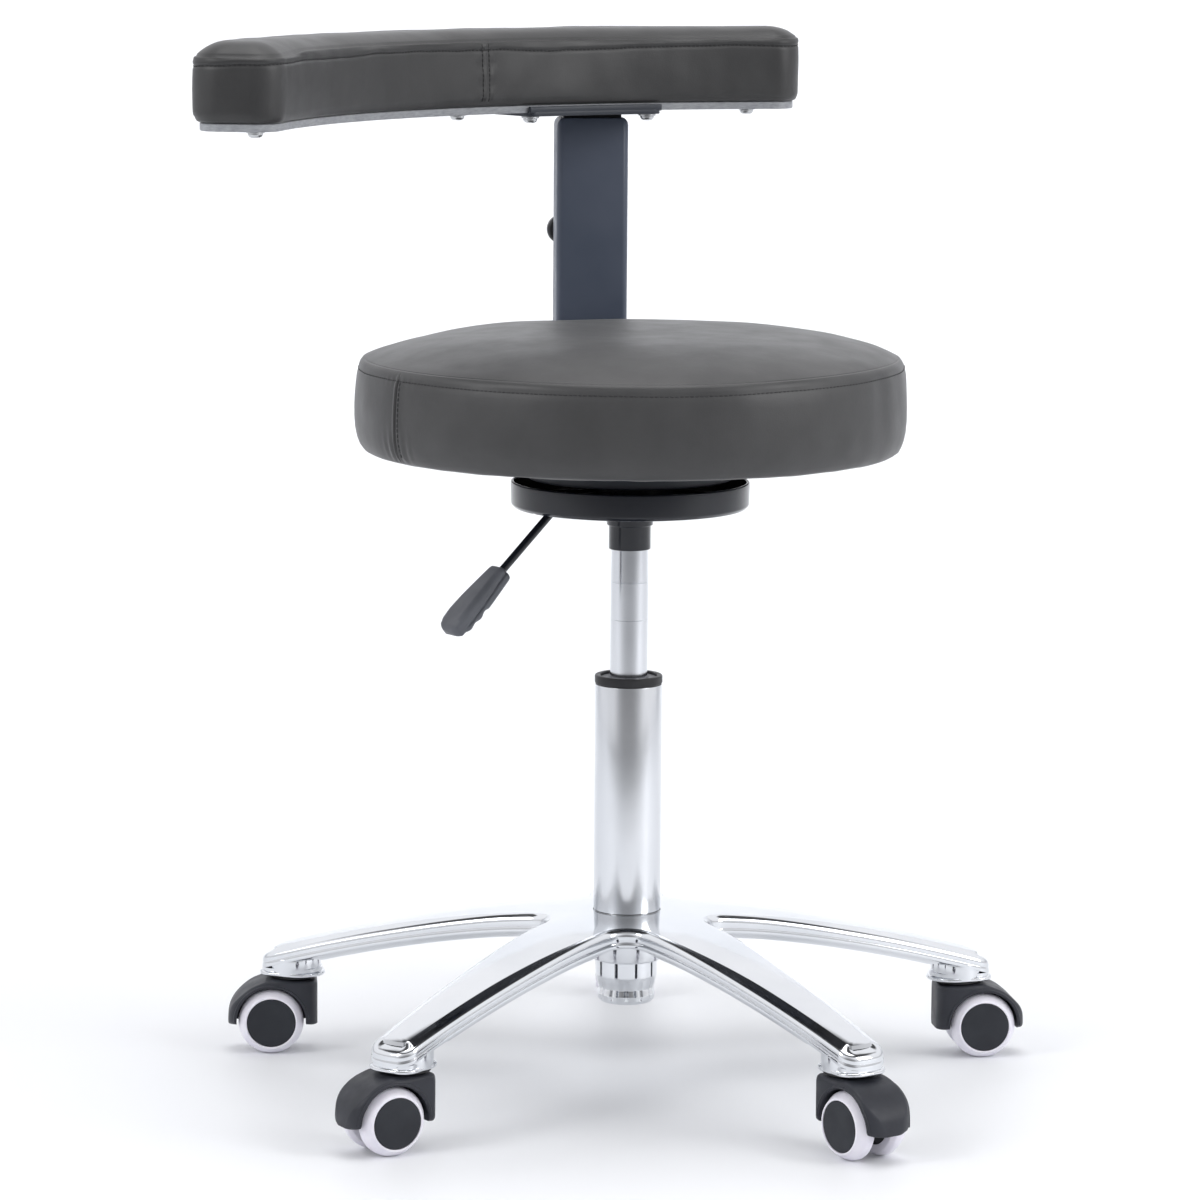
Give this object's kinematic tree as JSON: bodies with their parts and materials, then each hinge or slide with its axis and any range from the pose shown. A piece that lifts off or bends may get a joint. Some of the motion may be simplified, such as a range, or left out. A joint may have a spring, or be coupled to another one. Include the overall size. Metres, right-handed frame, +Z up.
{
  "type": "adjustable swivel stool",
  "caption": "Round padded swivel stool on a gas column and a five-arm castered star base, with a crescent padded arm that swings on a post.",
  "frame": {"origin": "on the floor, on the axis of the gas column", "axes": "+Z up along the gas column; -Y is the front of the stool, facing the sitter's open side, with the post behind the seat"},
  "size_m": [0.62, 0.5898, 0.781],
  "materials": {
    "cast_aluminium": "polished",
    "chrome_plate": "mirror polished",
    "steel": "turned",
    "black_plastic": "moulded",
    "grey_plastic": "moulded",
    "black_gloss_paint": "gloss",
    "blue_grey_paint": "satin powder coat",
    "plywood": "sanded",
    "board_laminate": "grey laminate",
    "seat_leather": "smooth grained synthetic",
    "dust_cloth": "non-woven",
    "handle_plastic": "satin",
    "hood_plastic": "satin",
    "hub_plastic": "matte",
    "white_tread": "smooth"
  },
  "bodies": {
    "base": {"star_base": "cast_aluminium", "bottom_cup": "chrome_plate", "outer_column": "chrome_plate", "column_cap": "black_plastic", "guide_bush": "grey_plastic", "thrust_bearing": "steel"},
    "spindle": {"piston_rod": "steel", "piston": "black_plastic", "retaining_clip": "steel"},
    "seat": {"gas_cylinder": "chrome_plate", "mechanism_housing": "black_gloss_paint", "seat_pan": "black_gloss_paint", "swivel_washer": "grey_plastic", "top_plate": "black_gloss_paint", "plate_bolts": "steel", "seat_board": "plywood", "seat_cushion": "seat_leather", "dust_cloth": "dust_cloth"},
    "release_button": {"release_pin": "steel"},
    "lever": {"lever_rod": "black_gloss_paint", "lever_handle": "handle_plastic"},
    "arm": {"arm_bracket": "blue_grey_paint", "arm_post": "blue_grey_paint", "post_liner": "black_plastic"},
    "backrest": {"arm_slider": "blue_grey_paint", "pad_board": "board_laminate", "arm_pad": "seat_leather", "pad_screws": "chrome_plate"},
    "knob": {"clamp_screw": "steel", "star_knob": "black_plastic"},
    "caster_1": {"caster_1_hood": "hood_plastic", "caster_1_pins": "steel"},
    "wheel_1_left": {"caster_1_tyre_left": "white_tread", "caster_1_hub_left": "hub_plastic"},
    "wheel_1_right": {"caster_1_tyre_right": "white_tread", "caster_1_hub_right": "hub_plastic"},
    "caster_2": {"caster_2_hood": "hood_plastic", "caster_2_pins": "steel"},
    "wheel_2_left": {"caster_2_tyre_left": "white_tread", "caster_2_hub_left": "hub_plastic"},
    "wheel_2_right": {"caster_2_tyre_right": "white_tread", "caster_2_hub_right": "hub_plastic"},
    "caster_3": {"caster_3_hood": "hood_plastic", "caster_3_pins": "steel"},
    "wheel_3_left": {"caster_3_tyre_left": "white_tread", "caster_3_hub_left": "hub_plastic"},
    "wheel_3_right": {"caster_3_tyre_right": "white_tread", "caster_3_hub_right": "hub_plastic"},
    "caster_4": {"caster_4_hood": "hood_plastic", "caster_4_pins": "steel"},
    "wheel_4_left": {"caster_4_tyre_left": "white_tread", "caster_4_hub_left": "hub_plastic"},
    "wheel_4_right": {"caster_4_tyre_right": "white_tread", "caster_4_hub_right": "hub_plastic"},
    "caster_5": {"caster_5_hood": "hood_plastic", "caster_5_pins": "steel"},
    "wheel_5_left": {"caster_5_tyre_left": "white_tread", "caster_5_hub_left": "hub_plastic"},
    "wheel_5_right": {"caster_5_tyre_right": "white_tread", "caster_5_hub_right": "hub_plastic"}
  },
  "joints": [
    {"name": "seat_swivel", "type": "hinge", "parent": "base", "child": "spindle", "pos_m": [0, 0, 0.07], "axis": [0, 0, 1], "continuous": true},
    {"name": "height_lift", "type": "slide", "parent": "spindle", "child": "seat", "axis": [0, 0, 1], "range_m": [-0.085, 0.055]},
    {"name": "lever_lift", "type": "hinge", "parent": "seat", "child": "lever", "pos_m": [-0.01966, -0.01377, 0.447], "axis": [-0.5736, 0.8192, 0], "range_deg": [0, 6.5], "stiffness_Nm_per_rad": 10, "springref_deg": -11.46},
    {"name": "pin_press", "type": "slide", "parent": "seat", "child": "release_button", "axis": [0, 0, -1], "range_m": [0, 0.0034]},
    {"name": "arm_swing", "type": "hinge", "parent": "seat", "child": "arm", "pos_m": [0, 0, 0.461], "axis": [0, 0, 1], "continuous": true},
    {"name": "backrest_height", "type": "slide", "parent": "arm", "child": "backrest", "axis": [0, 0, 1], "range_m": [0, 0.08]},
    {"name": "knob_turn", "type": "hinge", "parent": "arm", "child": "knob", "pos_m": [-0.03339, 0.24372, 0.621], "axis": [-0.1357, 0.9907, 0], "range_deg": [0, 360]},
    {"name": "caster_1_swivel", "type": "hinge", "parent": "base", "child": "caster_1", "pos_m": [0, 0.2683, 0.06], "axis": [0, 0, 1], "continuous": true},
    {"name": "wheel_1_left_spin", "type": "hinge", "parent": "caster_1", "child": "wheel_1_left", "pos_m": [0, 0.2863, 0.025], "axis": [1, 0, 0], "continuous": true},
    {"name": "wheel_1_right_spin", "type": "hinge", "parent": "caster_1", "child": "wheel_1_right", "pos_m": [0, 0.2863, 0.025], "axis": [1, 0, 0], "continuous": true},
    {"name": "caster_2_swivel", "type": "hinge", "parent": "base", "child": "caster_2", "pos_m": [-0.25517, 0.08291, 0.06], "axis": [0, 0, 1], "continuous": true},
    {"name": "wheel_2_left_spin", "type": "hinge", "parent": "caster_2", "child": "wheel_2_left", "pos_m": [-0.27313, 0.08165, 0.025], "axis": [-0.0698, 0.9976, 0], "continuous": true},
    {"name": "wheel_2_right_spin", "type": "hinge", "parent": "caster_2", "child": "wheel_2_right", "pos_m": [-0.27313, 0.08165, 0.025], "axis": [-0.0698, 0.9976, 0], "continuous": true},
    {"name": "caster_3_swivel", "type": "hinge", "parent": "base", "child": "caster_3", "pos_m": [-0.1577, -0.21706, 0.06], "axis": [0, 0, 1], "continuous": true},
    {"name": "wheel_3_left_spin", "type": "hinge", "parent": "caster_3", "child": "wheel_3_left", "pos_m": [-0.17329, -0.22606, 0.025], "axis": [-0.5, 0.866, 0], "continuous": true},
    {"name": "wheel_3_right_spin", "type": "hinge", "parent": "caster_3", "child": "wheel_3_right", "pos_m": [-0.17329, -0.22606, 0.025], "axis": [-0.5, 0.866, 0], "continuous": true},
    {"name": "caster_4_swivel", "type": "hinge", "parent": "base", "child": "caster_4", "pos_m": [0.1577, -0.21706, 0.06], "axis": [0, 0, 1], "continuous": true},
    {"name": "wheel_4_left_spin", "type": "hinge", "parent": "caster_4", "child": "wheel_4_left", "pos_m": [0.16815, -0.23171, 0.025], "axis": [-0.8141, -0.5807, 0], "continuous": true},
    {"name": "wheel_4_right_spin", "type": "hinge", "parent": "caster_4", "child": "wheel_4_right", "pos_m": [0.16815, -0.23171, 0.025], "axis": [-0.8141, -0.5807, 0], "continuous": true},
    {"name": "caster_5_swivel", "type": "hinge", "parent": "base", "child": "caster_5", "pos_m": [0.25517, 0.08291, 0.06], "axis": [0, 0, 1], "continuous": true},
    {"name": "wheel_5_left_spin", "type": "hinge", "parent": "caster_5", "child": "wheel_5_left", "pos_m": [0.27299, 0.08541, 0.025], "axis": [0.1392, -0.9903, 0], "continuous": true},
    {"name": "wheel_5_right_spin", "type": "hinge", "parent": "caster_5", "child": "wheel_5_right", "pos_m": [0.27299, 0.08541, 0.025], "axis": [0.1392, -0.9903, 0], "continuous": true}
  ],
  "couplings": [
    {"joint": "pin_press", "follows": "lever_lift", "m_per_rad": 0.0275}
  ]
}
